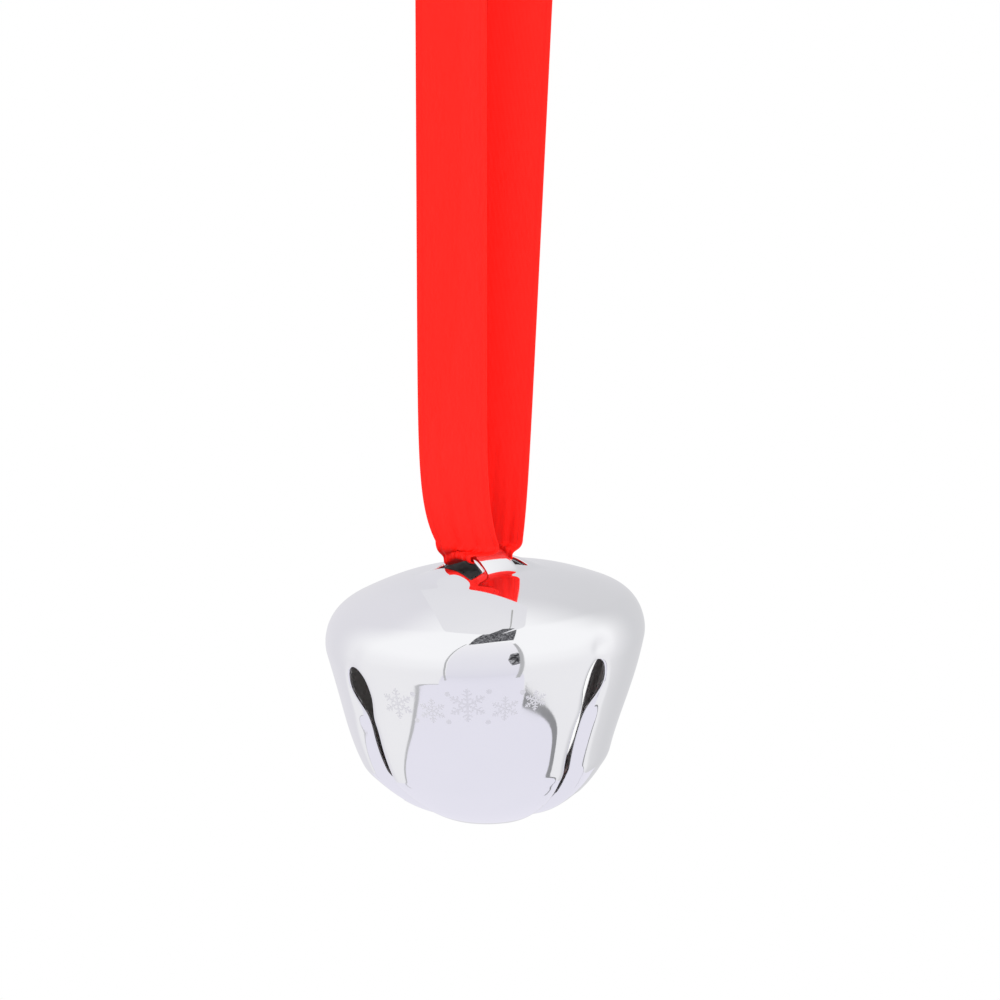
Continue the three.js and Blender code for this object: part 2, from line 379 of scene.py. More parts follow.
def inside_material():
    """The bell's unpolished inside: dull grey plate with drawing marks."""
    material, nodes, links, shader = new_material("bell_inside_plate")
    place = nodes.new("ShaderNodeTexCoord")
    blotch = noise(nodes, links, place.outputs["Object"], 160.0, 5.0, 0.6)
    colour = mix_colour(nodes, links, blotch, (0.42, 0.41, 0.40, 1), (0.72, 0.71, 0.70, 1))
    links.new(colour, shader.inputs["Base Color"])
    links.new(span(nodes, links, blotch, 0.3, 0.7, 0.22, 0.42), shader.inputs["Roughness"])
    shader.inputs["Metallic"].default_value = 1.0
    marks = noise(nodes, links, place.outputs["Object"], 900.0, 3.0)
    links.new(bump(nodes, links, marks, 0.1, 0.0001), shader.inputs["Normal"])
    return material


def ball_material():
    """Tumbled steel with scuffs."""
    material, nodes, links, shader = new_material("pellet_steel")
    place = nodes.new("ShaderNodeTexCoord")
    scuff = noise(nodes, links, place.outputs["Object"], 420.0, 6.0, 0.7)
    colour = mix_colour(nodes, links, scuff, (0.38, 0.38, 0.39, 1), (0.68, 0.68, 0.69, 1))
    links.new(colour, shader.inputs["Base Color"])
    links.new(span(nodes, links, scuff, 0.3, 0.7, 0.2, 0.5), shader.inputs["Roughness"])
    shader.inputs["Metallic"].default_value = 1.0
    dents = noise(nodes, links, place.outputs["Object"], 1800.0, 4.0)
    links.new(bump(nodes, links, dents, 0.3, 0.0001), shader.inputs["Normal"])
    return material


RIBBON_WIDTH = 12.7
THREAD_PITCH = 0.24
PICK_PITCH = 0.34
THREAD_WANDER = 0.12
SELVEDGE = 0.95
SELVEDGE_LINE = 0.16


def satin_material():
    """Polyester satin: fine threads along the ribbon, faint picks across it, and a woven edge."""
    material, nodes, links, shader = new_material("red_satin")
    place = nodes.new("ShaderNodeTexCoord")
    split = nodes.new("ShaderNodeSeparateXYZ")
    links.new(place.outputs["UV"], split.inputs[0])

    def m(operation, *inputs):
        return math_node(nodes, links, operation, *inputs)

    u = m("MULTIPLY", split.outputs[0], UV_SCALE)
    v = m("MULTIPLY", split.outputs[1], UV_SCALE)
    wander = noise(nodes, links, place.outputs["UV"], 260.0, 2.0)
    shifted = m("ADD", u, m("MULTIPLY", wander, THREAD_WANDER))
    thread = m("SINE", m("MULTIPLY", shifted, 2 * math.pi / THREAD_PITCH))
    pick = m("SINE", m("MULTIPLY", v, 2 * math.pi / PICK_PITCH))
    stretch = nodes.new("ShaderNodeMapping")
    stretch.inputs["Scale"].default_value = (900.0, 22.0, 1.0)
    links.new(place.outputs["UV"], stretch.inputs["Vector"])
    streak = noise(nodes, links, stretch.outputs[0], 1.0, 3.0, 0.6)
    height = m("ADD", m("MULTIPLY", thread, 0.6), m("MULTIPLY", pick, 0.18))
    height = m("ADD", height, streak)
    edge = m("SUBTRACT", RIBBON_WIDTH / 2, m("ABSOLUTE", u))
    line = m("ABSOLUTE", m("SUBTRACT", edge, SELVEDGE))
    seam = span(nodes, links, line, 0.0, SELVEDGE_LINE, 0.75, 0.0)
    bright = (1.0, 0.009, 0.003, 1)
    deep = (0.9, 0.005, 0.0015, 1)
    dark = (0.62, 0.003, 0.001, 1)
    body = mix_colour(nodes, links, span(nodes, links, streak, 0.3, 0.7, 1.0, 0.0), bright, deep)
    links.new(mix_colour(nodes, links, seam, body, dark), shader.inputs["Base Color"])
    links.new(span(nodes, links, streak, 0.3, 0.7, 0.36, 0.52), shader.inputs["Roughness"])
    shader.inputs["Specular IOR Level"].default_value = 0.17
    shader.inputs["Anisotropic"].default_value = 0.5
    shader.inputs["Sheen Weight"].default_value = 0.03
    shader.inputs["Sheen Roughness"].default_value = 0.4
    shader.inputs["Sheen Tint"].default_value = (1.0, 0.25, 0.2, 1)
    links.new(bump(nodes, links, height, 0.35, 0.00006), shader.inputs["Normal"])
    return material


chrome = chrome_material()
plate_inside = inside_material()
steel = ball_material()
satin = satin_material()

# ---- bell ----

BELL_RADIUS = 30.0
SHEET = 0.85
CROWN_ARC = 60.0
SHOULDER_ARC = 7.5
TAPER = math.radians(16.5)
CORNER_ARC = 6.0
BOTTOM_ARC = 28.3
BOTTOM_ARC_CENTRE = -7.9
HOLE_RADIUS = 3.0
RING_RADIUS = 21.0
WALL_STEPS = 34

SLOT_AZIMUTHS = np.radians([-4.5, 94.0, 177.0, 274.0])
SLOT_HALVES = (1.3, 0.8, 1.4, 1.6)
KEY_HALF_WIDTHS = (3.3, 2.7, 3.3, 3.5)
KEY_HALF_HEIGHT = 4.6
KEY_CENTRE = -5.6
KEY_TAIL = 6.5
KEY_TOP = KEY_CENTRE + KEY_HALF_HEIGHT

STRAP_HALF = 3.7
WINDOW_OUTER = 7.1
WINDOW_HALF_LENGTH = 6.0
PATCH_HALF = 10.5
STRAP_LIFT = 3.43
LIP_SHARE = 0.34

shoulder_centre = BELL_RADIUS - SHOULDER_ARC
crown_centre = -math.sqrt((CROWN_ARC - SHOULDER_ARC) ** 2 - shoulder_centre**2)
crown_join = math.atan2(-crown_centre, shoulder_centre)
reach = BOTTOM_ARC - CORNER_ARC
wall_distance = shoulder_centre * math.cos(TAPER) + SHOULDER_ARC - CORNER_ARC
corner_turn = math.asin((wall_distance + BOTTOM_ARC_CENTRE * math.sin(TAPER)) / reach) - TAPER
corner_r = reach * math.sin(corner_turn)
corner_z = BOTTOM_ARC_CENTRE - reach * math.cos(corner_turn)
hole_angle = math.asin(HOLE_RADIUS / BOTTOM_ARC)


def dome_height(radius):
    return crown_centre + np.sqrt(CROWN_ARC**2 - np.asarray(radius, float) ** 2)


def wall_profile():
    """The bell's outline from the crown ring to the bottom hole, in steps of about half a millimetre."""
    arcs = []
    start = math.acos(RING_RADIUS / CROWN_ARC)
    for centre_r, centre_z, radius, first, last, steps in (
        (0.0, crown_centre, CROWN_ARC, start, crown_join, 10),
        (shoulder_centre, 0.0, SHOULDER_ARC, crown_join, -TAPER, 34),
        (corner_r, corner_z, CORNER_ARC, -TAPER, corner_turn - math.pi / 2, 16),
        (0.0, BOTTOM_ARC_CENTRE, BOTTOM_ARC, corner_turn - math.pi / 2, hole_angle - math.pi / 2, 64),
    ):
        angles = np.linspace(first, last, steps + 1)
        round_stretch = radius * np.stack([np.cos(angles), np.sin(angles)], 1)
        arcs.append(np.array([centre_r, centre_z]) + round_stretch)
    straight = np.linspace(arcs[1][-1], arcs[2][0], WALL_STEPS + 1)
    return np.concatenate([arcs[0], arcs[1][1:], straight[1:], arcs[2][1:], arcs[3][1:]])


profile = wall_profile()
profile_length = np.concatenate([[0], np.cumsum(np.linalg.norm(np.diff(profile, axis=0), axis=1))])


def profile_at(length):
    r = np.interp(length, profile_length, profile[:, 0])
    z = np.interp(length, profile_length, profile[:, 1])
    return r, z


length_at_top = float(np.interp(-KEY_TOP, -profile[:, 1], profile_length))
length_at_widest = float(np.interp(0.0, -profile[:, 1], profile_length))
refined = KEY_HALF_HEIGHT * (1 - np.cos(np.radians(np.arange(1, 8) * 7.0)))
rows = [length_at_top]
rows += [length_at_top + step for step in refined]
rows += [length_at_top - step for step in refined[:5]]
for length in profile_length:
    if length < length_at_top - refined[4] - 0.2 or length > length_at_top + refined[-1] + 0.2:
        rows.append(float(length))
rows = np.array(sorted(rows))
top_row = int(np.argmin(np.abs(rows - length_at_top)))
row_r, row_z = profile_at(rows)


def hole_half_width(slot, z, r):
    """Half the width of a keyhole or of its slot at height z."""
    rise = np.clip((z - KEY_CENTRE) / KEY_HALF_HEIGHT, 0, 1)
    key = KEY_HALF_WIDTHS[slot] * np.sqrt(1 - rise**2)
    tail = smoothstep(KEY_CENTRE - z, 0.0, KEY_TAIL)
    width = key * (1 - tail) + SLOT_HALVES[slot] * tail
    return width + 0.25 * (1 - smoothstep(r, HOLE_RADIUS, HOLE_RADIUS + 3))


PETAL_COLUMNS = 60
half_columns = PETAL_COLUMNS // 2
spacing = 0.22 * 1.075 ** np.arange(half_columns)
fraction = np.concatenate([[0], np.cumsum(spacing)]) / (2 * spacing.sum())
fraction = np.concatenate([fraction, 1 - fraction[-2::-1]])

bell_points = []
bell_uv = []
ids = np.zeros((len(rows), 4, PETAL_COLUMNS + 1), int)
PART_FRONT = math.radians(45)
ETCH_DROP = 7.0
CROWN_UV = 0.6
for i in range(len(rows)):
    r, z = float(row_r[i]), float(row_z[i])
    opened = i > top_row
    half_angles = [0.0] * 4
    if opened:
        half_angles = [math.asin(min(float(hole_half_width(k, z, r)) / r, 0.999)) for k in range(4)]
    for petal in range(4):
        after = (petal + 1) % 4
        low = SLOT_AZIMUTHS[petal] + half_angles[petal]
        high = SLOT_AZIMUTHS[after] + 2 * math.pi * (after == 0) - half_angles[after]
        for column in range(PETAL_COLUMNS + 1):
            if not opened and column == PETAL_COLUMNS:
                continue
            azimuth = low + (high - low) * fraction[column]
            ids[i, petal, column] = len(bell_points)
            bell_points.append([r * math.sin(azimuth), -r * math.cos(azimuth), z])
            along = (azimuth - PART_FRONT) * BELL_RADIUS * math.cos(TAPER) ** 2
            bell_uv.append([along / UV_SCALE, (length_at_widest + ETCH_DROP - rows[i]) / UV_SCALE])
    # Above the slots, neighbouring petals share their edge.
    if not opened:
        for petal in range(4):
            ids[i, petal, PETAL_COLUMNS] = ids[i, (petal + 1) % 4, 0]

bell_quads = []
for i in range(len(rows) - 1):
    for petal in range(4):
        for column in range(PETAL_COLUMNS):
            a, b = ids[i, petal, column], ids[i, petal, column + 1]
            c, d = ids[i + 1, petal, column + 1], ids[i + 1, petal, column]
            bell_quads.append([a, d, c, b])


def patch_lines(breaks, counts):
    half = [0.0]
    for low, high, cells in zip(breaks[:-1], breaks[1:], counts):
        half += list(np.linspace(low, high, cells + 1)[1:])
    half = np.array(half)
    return np.concatenate([-half[:0:-1], half])


x_lines = patch_lines([0, WINDOW_HALF_LENGTH, PATCH_HALF], [16, 14])
y_lines = patch_lines([0, STRAP_HALF, WINDOW_OUTER, PATCH_HALF], [12, 8, 10])
side_cells = len(x_lines) - 1
patch_ids = np.zeros((side_cells + 1, side_cells + 1), int)
for ix, x in enumerate(x_lines):
    for iy, y in enumerate(y_lines):
        patch_ids[ix, iy] = len(bell_points)
        bell_points.append([x, y, 0.0])
        bell_uv.append([x / UV_SCALE, CROWN_UV + y / UV_SCALE])
for ix in range(side_cells):
    for iy in range(side_cells):
        x = (x_lines[ix] + x_lines[ix + 1]) / 2
        y = (y_lines[iy] + y_lines[iy + 1]) / 2
        if abs(x) < WINDOW_HALF_LENGTH and STRAP_HALF < abs(y) < WINDOW_OUTER:
            continue
        bell_quads.append(
            [patch_ids[ix, iy], patch_ids[ix + 1, iy], patch_ids[ix + 1, iy + 1], patch_ids[ix, iy + 1]]
        )
middle = side_cells // 2
perimeter = [patch_ids[k, 0] for k in range(middle, side_cells)]
perimeter += [patch_ids[side_cells, k] for k in range(side_cells)]
perimeter += [patch_ids[side_cells - k, side_cells] for k in range(side_cells)]
perimeter += [patch_ids[0, side_cells - k] for k in range(side_cells)]
perimeter += [patch_ids[k, 0] for k in range(middle)]
ring = [ids[0, petal, column] for petal in range(4) for column in range(PETAL_COLUMNS)]
LAYERS = 16
previous = perimeter
for layer in range(1, LAYERS + 1):
    current = []
    if layer == LAYERS:
        current = ring
    else:
        share = layer / LAYERS
        for inner_id, outer_id in zip(perimeter, ring):
            a = np.array(bell_points[inner_id][:2])
            b = np.array(bell_points[outer_id][:2])
            xy = a + (b - a) * share
            current.append(len(bell_points))
            bell_points.append([xy[0], xy[1], 0.0])
            bell_uv.append([xy[0] / UV_SCALE, CROWN_UV + xy[1] / UV_SCALE])
    for k in range(len(ring)):
        n = (k + 1) % len(ring)
        bell_quads.append([previous[k], current[k], current[n], previous[n]])
    previous = current

bell_points = np.array(bell_points, float)
bell_quads = np.array(bell_quads, int)
bell_uv = np.array(bell_uv, float)


def crown_lift(x, y):
    """How far the strap, its roots and the lips beside it stand above the dome."""
    along = 1 - smoothstep(np.abs(x), 1.2, 8.4)
    from_strap = smoothstep(np.abs(y), 3.0, WINDOW_OUTER)
    from_lip = smoothstep(np.abs(y), WINDOW_OUTER, 12.0)
    return STRAP_LIFT * along * (1 - (1 - LIP_SHARE) * from_strap - LIP_SHARE * from_lip)


first_patch = patch_ids.min()
on_crown = np.arange(len(bell_points)) >= first_patch
crown_xy = bell_points[on_crown][:, :2]
bell_points[on_crown, 2] = dome_height(np.linalg.norm(crown_xy, axis=1))
bell_points[on_crown, 2] += crown_lift(crown_xy[:, 0], crown_xy[:, 1])

# The petals' edges roll in along the slots, and the sheet is a little uneven, as stamped steel is.
EDGE_ROLL = 1.9
EDGE_BAND = 3.2
KEY_ROLL = 0.28
KEY_BAND = 1.1
PUCKERED_SLOT = 1
WALL_BULGE = 0.45
WALL_TOP = 1.5
WALL_HEIGHT = 27.5
SHOULDER_SHIFT = 0.4
BODY_SHIFT = 1.4
BODY_SHIFT_HEIGHT = -21.0
BODY_SHIFT_REACH = 11.0
BOTTOM_SAG = 0.45
PUCKER_DEPTH = 0.55
OTHER_PUCKER_DEPTH = 0.12


def shape_wall(points):
    """The bell's surface with its edges rolled in, its pucker, its bulge and its slight skew."""
    normals = vertex_normals(points, bell_quads)
    azimuth = np.arctan2(points[:, 0], -points[:, 1])
    radius = np.linalg.norm(points[:, :2], axis=1)
    z = points[:, 2]
    inward = np.zeros(len(points))
    for slot, centre in enumerate(SLOT_AZIMUTHS):
        turn = azimuth - centre
        across = np.abs(radius * np.sin(turn))
        facing = np.cos(turn) > 0
        low = z < KEY_CENTRE
        beside = across - hole_half_width(slot, np.minimum(z, KEY_CENTRE), radius)
        px = across / KEY_HALF_WIDTHS[slot]
        pz = (z - KEY_CENTRE) / KEY_HALF_HEIGHT
        k0 = np.sqrt(px**2 + pz**2)
        k1 = np.sqrt((px / KEY_HALF_WIDTHS[slot]) ** 2 + (pz / KEY_HALF_HEIGHT) ** 2)
        around = k0 * (k0 - 1) / np.maximum(k1, 1e-6)
        distance = np.where(low, beside, around)
        share = smoothstep(KEY_CENTRE - z, -1.0, 9.0)
        share_low = 1 - 0.35 * smoothstep(-z, 26, 35)
        band = KEY_BAND + (EDGE_BAND - KEY_BAND) * share
        roll = KEY_ROLL + (EDGE_ROLL * share_low - KEY_ROLL) * share
        near = np.clip(1 - np.maximum(distance, 0) / band, 0, 1)
        ring_on = facing & (radius > 2.5) & (z < 4)
        inward = np.maximum(inward, np.where(ring_on, roll * near**2.1, 0))
        strength = PUCKER_DEPTH if slot == PUCKERED_SLOT else OTHER_PUCKER_DEPTH
        du = radius * np.sin(turn)
        dent = np.exp(-((du - 0.5) ** 2) / 5.0 - ((z - KEY_TOP - 2.0 - 0.25 * du) ** 2) / 3.2)
        inward = inward + np.where(facing, strength * dent, 0)
    uneven = 0.05 * np.sin(3 * azimuth + 0.09 * z + 0.6) + 0.035 * np.sin(5 * azimuth - 0.21 * z + 2.1)
    uneven = uneven + 0.02 * np.sin(8 * azimuth + 0.35 * z)
    inward = inward + uneven * smoothstep(radius, 8, 20)
    inward = inward - WALL_BULGE * np.sin(math.pi * np.clip((WALL_TOP - z) / WALL_HEIGHT, 0, 1))
    moved = points - inward[:, None] * normals
    skew = SHOULDER_SHIFT - BODY_SHIFT * np.exp(-(((z - BODY_SHIFT_HEIGHT) / BODY_SHIFT_REACH) ** 2))
    skew = skew * np.where(z > -30, smoothstep(radius, 12, 24), 1.0)
    moved += (skew * (1 - smoothstep(z, 10, 13)))[:, None] * (bell_turn @ np.array([1.0, 0.0, 0.0]))
    moved[:, 2] -= BOTTOM_SAG * smoothstep(-z, 22, 35)
    return moved


bell_points = shape_wall(bell_points)
shell_points, shell_faces, shell_layers, shell_source = thicken(bell_points, bell_quads, SHEET, 0.55)
bell = mesh_object(
    "bell_shell_stamped",
    from_bell(shell_points),
    shell_faces,
    [chrome, plate_inside],
    (shell_layers == 2).astype(int),
    bell_uv[shell_source],
)
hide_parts("bell_shell")
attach(bell, "bell")

# ---- rattle ball ----


def globe(rings, sides):
    """Points and faces of a globe of radius 1, ring by ring from the south pole to the north."""
    points = [[0, 0, -1.0]]
    for ring_index in range(1, rings):
        tilt = math.pi * ring_index / rings - math.pi / 2
        for side in range(sides):
            around = 2 * math.pi * side / sides
            level = math.cos(tilt)
            points.append([level * math.cos(around), level * math.sin(around), math.sin(tilt)])
    points.append([0, 0, 1.0])
    faces = []
    last = 1 + (rings - 2) * sides
    for side in range(sides):
        after = (side + 1) % sides
        faces.append([0, 1 + after, 1 + side])
        faces.append([last + sides, last + side, last + after])
        for ring_index in range(rings - 2):
            base = 1 + ring_index * sides
            faces.append([base + side, base + after, base + sides + after, base + sides + side])
    return np.array(points), faces


BALL_RADIUS = 5.0
ball_low, ball_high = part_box("pellet")
ball_centre = np.array((ball_low + ball_high) / 2) / MM
BALL_RINGS = 48
BALL_SIDES = 72
ball_points, ball_faces = globe(BALL_RINGS, BALL_SIDES)
seam = np.exp(-((ball_points[:, 2] / 0.05) ** 2)) * 0.006
waves = np.sin(7 * ball_points[:, 0] + 1) * np.sin(6 * ball_points[:, 1]) * np.sin(5 * ball_points[:, 2])
ball_points = ball_points * (BALL_RADIUS * (0.99 + seam + 0.004 * waves))[:, None]
ball = mesh_object("rattle_ball", ball_points + ball_centre, ball_faces, [steel])
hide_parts("pellet")
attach(ball, "pellet")

# ---- ribbon ----

CLOTH = 0.3
SEAM_HEIGHT = -22.0
KNOT_BOTTOM = 3.95
SPREAD_TOP = -24.0
strap_top = from_bell([[0, 0, 16.0]])[0]
FOLD_RISE = 1.7
fold_height = float(strap_top[2]) + FOLD_RISE
ACROSS = 36
across = np.linspace(-0.5, 0.5, ACROSS + 1)
SLOT_LINE = 4.3
STRAP_FACE = 15.55
UNDER_DROP = 0.95
BIGHT_STEPS = 14


def strand_place(side, height):
    """Middle, turn and depth of a strand at a height above the fold: side -1 is the front strand."""
    rise = np.maximum(height, 0)
    if side < 0:
        x = -6.2 + 2.9 * np.exp(-rise / 6.5)
        turn = np.radians(-7 - 15 * np.exp(-rise / 14))
        depth = -4.2 + 0.8 * np.exp(-rise / 20)
    else:
        x = 1.1 + 0.0465 * rise
        turn = np.radians(-7 - 22 * np.exp(-rise / 12))
        depth = 4.2 - 0.6 * np.exp(-rise / 20)
    return x, depth, turn


def strand_row(side, z):
    x, depth, turn = strand_place(side, z - fold_height)
    gather = smoothstep(z, SPREAD_TOP + 6, KNOT_BOTTOM)
    width = RIBBON_WIDTH * (1 - gather) + 6.0 * gather
    pinch = smoothstep(z, -20, KNOT_BOTTOM)
    x = x * (1 - smoothstep(z, SPREAD_TOP, KNOT_BOTTOM))
    depth = depth * (1 - pinch) + math.copysign(0.6, depth) * pinch
    low = np.exp(-max(z - fold_height, 0) / 9.0)
    ripple = 0.16 * low * np.sin(across * 23 + side) + 0.10 * low * np.sin(across * 41 + 2.0)
    cup = (0.35 * low + 0.22) * (4 * across**2 - 0.33)
    pleat = gather * 0.75 * np.sin(across * 2 * math.pi * 3.5 + side)
    out = side * (cup + pleat) + ripple
    local_x = across * width
    row = np.zeros((ACROSS + 1, 3))
    row[:, 0] = x + local_x * math.cos(turn) - out * math.sin(turn)
    row[:, 1] = depth + local_x * math.sin(turn) + out * math.cos(turn)
    row[:, 2] = z
    return row


def bezier(p0, p1, p2, p3, t):
    s = 1 - t
    return s**3 * p0 + 3 * s * s * t * p1 + 3 * s * t * t * p2 + t**3 * p3


def slot_row(side, z, y):
    """Where the threads cross the strap's edge, in the bell's frame."""
    if side < 0:
        x = -4.9 + (across + 0.5) * 7.6
    else:
        x = -4.6 + (across + 0.5) * 9.0
    pleat = 0.17 * np.sin(across * 31) + 0.12 * np.sin(across * 47 + 1)
    drop = crown_lift(x, y) - crown_lift(0.0, y)
    return x, y + side * (pleat + 0.1), z + drop


def bight_rows():
    """The stretch that hugs the strap, from the front strand's fold to the back strand's."""
    made = []
    top_front = strand_row(-1, fold_height)
    top_back = strand_row(1, fold_height)
    entry = {}
    for side in (-1, 1):
        x, y, z = slot_row(side, STRAP_FACE, side * SLOT_LINE)
        entry[side] = from_bell(np.stack([x, y, z], 1))
    down = np.array([0, 0, -1.0])
    for k in range(1, BIGHT_STEPS + 1):
        t = k / BIGHT_STEPS
        made.append(bezier(top_front, top_front + down * 2.6, entry[-1] - down * 1.3, entry[-1], t))
    for angle in np.linspace(0, 1, 15)[1:-1]:
        swing = math.pi * angle
        y = -SLOT_LINE * math.copysign(abs(math.cos(swing)) ** 0.35, math.cos(swing))
        z = STRAP_FACE - UNDER_DROP * math.sin(swing) ** 0.35
        side_share = (y + SLOT_LINE) / (2 * SLOT_LINE)
        xf, yf, _ = slot_row(-1, z, y)
        xb, yb, _ = slot_row(1, z, y)
        x = xf * (1 - side_share) + xb * side_share
        yy = yf * (1 - side_share) + yb * side_share
        zz = z + crown_lift(x, y) - crown_lift(0.0, y)
        zz = zz - 0.10 * np.abs(np.sin(across * 31))
        made.append(from_bell(np.stack([x, yy, zz], 1)))
    for k in range(BIGHT_STEPS):
        t = k / BIGHT_STEPS
        made.append(bezier(entry[1], entry[1] - down * 1.3, top_back + down * 2.4, top_back, t))
    return made


strand_heights = np.linspace(SEAM_HEIGHT, fold_height, 131)
ribbon_rows = [strand_row(-1, z) for z in strand_heights]
ribbon_rows += bight_rows()
ribbon_rows += [strand_row(1, z) for z in strand_heights[::-1]]


def strip_mesh(strip_rows, thickness, flip=False):
    """A closed strip of cloth with slightly thicker woven edges, and its UV map in millimetres."""
    strip = np.array(strip_rows)
    count, columns = strip.shape[:2]
    points = strip.reshape(-1, 3)
    quads = []
    for i in range(count - 1):
        for j in range(columns - 1):
            a = i * columns + j
            quad = [a, a + 1, a + columns + 1, a + columns]
            quads.append(quad[::-1] if flip else quad)
    quads = np.array(quads)
    middle_line = strip[:, columns // 2]
    run = np.concatenate([[0], np.cumsum(np.linalg.norm(np.diff(middle_line, axis=0), axis=1))])
    uv = np.stack(
        [np.tile(across * RIBBON_WIDTH, count), np.repeat(run, columns)], 1
    ) / UV_SCALE
    normals = vertex_normals(points, quads)
    shifted = points + thickness / 2 * normals
    made, faces, _, source = thicken(shifted, quads, thickness, 0.9, 3)
    return made, faces, uv[source], float(run[-1])


loop_points, loop_faces, loop_uv, loop_length = strip_mesh(ribbon_rows, CLOTH)
ribbon = mesh_object("ribbon_loop_satin", loop_points, loop_faces, [satin], None, loop_uv)
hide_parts("ribbon_loop")

# ---- knot: the strands' gathered ends, an overhand knot and two cut tails ----

knot_points = []
knot_faces = []
knot_uv = []


def add_to_knot(points, faces, uv):
    base = sum(len(p) for p in knot_points)
    knot_points.append(points)
    knot_uv.append(uv)
    knot_faces.extend([[v + base for v in face] for face in faces])


KNOT_MIDDLE = KNOT_BOTTOM + 4.8
gather_heights = np.linspace(SEAM_HEIGHT, KNOT_MIDDLE - 1, 44)
for side in (-1, 1):
    ends = [strand_row(side, z) for z in gather_heights]
    part = strip_mesh(ends, CLOTH, side < 0)
    add_to_knot(*part[:3])

TAIL_LENGTH = 21.0
TAIL_NOTCH = 4.5
TAIL_LEAN = math.radians(17)
TAIL_SPLAY = math.radians(14)
for side in (-1, 1):
    tail_rows = []
    for t in np.linspace(0, 1, 40):
        flare = 6.0 + (RIBBON_WIDTH - 6.0) * smoothstep(t, 0, 0.55)
        notch = TAIL_NOTCH * (1 - 2 * np.abs(across)) * smoothstep(t, 0.3, 1.0)
        rise = t * TAIL_LENGTH - notch
        pleat = 0.8 * (1 - smoothstep(t, 0, 0.7)) * np.sin(across * 2 * math.pi * 2.5 + side)
        curl = 0.7 * math.sin(2.6 * t) + pleat
        x = across * flare * 0.95
        x1 = x * math.cos(TAIL_SPLAY) + side * rise * math.sin(TAIL_SPLAY)
        z1 = rise * math.cos(TAIL_SPLAY) - side * x * math.sin(TAIL_SPLAY)
        y1 = side * (z1 * math.sin(TAIL_LEAN) + curl * math.cos(TAIL_LEAN) + 0.8)
        z2 = z1 * math.cos(TAIL_LEAN) - curl * math.sin(TAIL_LEAN)
        tail_rows.append(np.stack([x1, y1, KNOT_MIDDLE + z2], 1))
    add_to_knot(*strip_mesh(tail_rows, CLOTH, side < 0)[:3])


def knot_band():
    """A flattened, pleated band along a trefoil curve: the turns of the overhand knot."""
    turns = 260
    sides = 40
    t = np.linspace(0, 2 * math.pi, turns, endpoint=False)
    curve = np.stack(
        [
            (np.sin(t) + 2 * np.sin(2 * t)) * 1.15,
            np.sin(3 * t) * 1.9,
            (np.cos(t) - 2 * np.cos(2 * t)) * 1.08,
        ],
        1,
    )
    tangent = np.roll(curve, -1, 0) - np.roll(curve, 1, 0)
    tangent /= np.linalg.norm(tangent, axis=1, keepdims=True)
    radial = curve / np.linalg.norm(curve, axis=1, keepdims=True)
    radial = radial - (radial * tangent).sum(1, keepdims=True) * tangent
    radial /= np.linalg.norm(radial, axis=1, keepdims=True)
    binormal = np.cross(tangent, radial)
    angle = 2 * math.pi * np.arange(sides) / sides
    pleats = 1 + 0.09 * np.sin(9 * angle[None, :] + 3 * t[:, None])
    wide = 2.35 * np.cos(angle)[None, :, None] * pleats[:, :, None]
    thick = 1.5 * np.sin(angle)[None, :, None] * pleats[:, :, None]
    points = curve[:, None] + wide * binormal[:, None] + thick * radial[:, None]
    points = points.reshape(-1, 3) + np.array([0, 0, KNOT_MIDDLE])
    faces = []
    for i in range(turns):
        n = (i + 1) % turns
        for j in range(sides):
            m = (j + 1) % sides
            faces.append([i * sides + j, n * sides + j, n * sides + m, i * sides + m])
    uv = np.stack(
        [np.tile(np.cos(angle) * 5.0, turns), np.repeat(t * 6.0, sides)], 1
    ) / UV_SCALE
    return points, faces, uv


add_to_knot(*knot_band())
knot = mesh_object(
    "ribbon_knot_satin", np.concatenate(knot_points), knot_faces, [satin], None, np.concatenate(knot_uv)
)
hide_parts("ribbon_knot")

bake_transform(knot)
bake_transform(ribbon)

# ---- stage: pale floor, white surroundings and soft lights ----

FLOOR_DROP = 0.46
FLOOR_SIZE = 6.0
WHITE = 1.0


def glow_material(name):
    """A material that only glows, with its nodes, its links and its glow node."""
    material = bpy.data.materials.new(name)
    material.use_nodes = True
    nodes = material.node_tree.nodes
    links = material.node_tree.links
    nodes.clear()
    glow = nodes.new("ShaderNodeEmission")
    output = nodes.new("ShaderNodeOutputMaterial")
    links.new(glow.outputs[0], output.inputs[0])
    return material, nodes, links, glow


floor_material, _, _, floor_glow = glow_material("floor_white")
floor_glow.inputs["Strength"].default_value = WHITE
corner_signs = ((-1, -1), (1, -1), (1, 1), (-1, 1))
floor_corners = [(FLOOR_SIZE * x, FLOOR_SIZE * y, -FLOOR_DROP) for x, y in corner_signs]
floor_mesh = bpy.data.meshes.new("floor")
floor_mesh.from_pydata(floor_corners, [], [[0, 1, 2, 3]])
floor_mesh.materials.append(floor_material)
floor = bpy.data.objects.new("floor", floor_mesh)
bpy.context.scene.collection.objects.link(floor)
floor.visible_glossy = False
floor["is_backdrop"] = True

world = bpy.data.worlds.new("studio_white")
world.use_nodes = True
bpy.context.scene.world = world
background = world.node_tree.nodes["Background"]
background.inputs["Color"].default_value = (1, 1, 1, 1)
background.inputs["Strength"].default_value = WHITE

bpy.context.scene.view_settings.view_transform = "Standard"
bpy.context.scene.view_settings.look = "None"


def area_light(name, place, target, size, watts):
    data = bpy.data.lights.new(name, "AREA")
    data.shape = "SQUARE"
    data.size = size
    data.energy = watts
    lamp = bpy.data.objects.new(name, data)
    bpy.context.scene.collection.objects.link(lamp)
    lamp.location = place
    lamp.rotation_mode = "QUATERNION"
    lamp.rotation_quaternion = (Vector(target) - Vector(place)).to_track_quat("-Z", "Y")
    lamp.visible_glossy = False


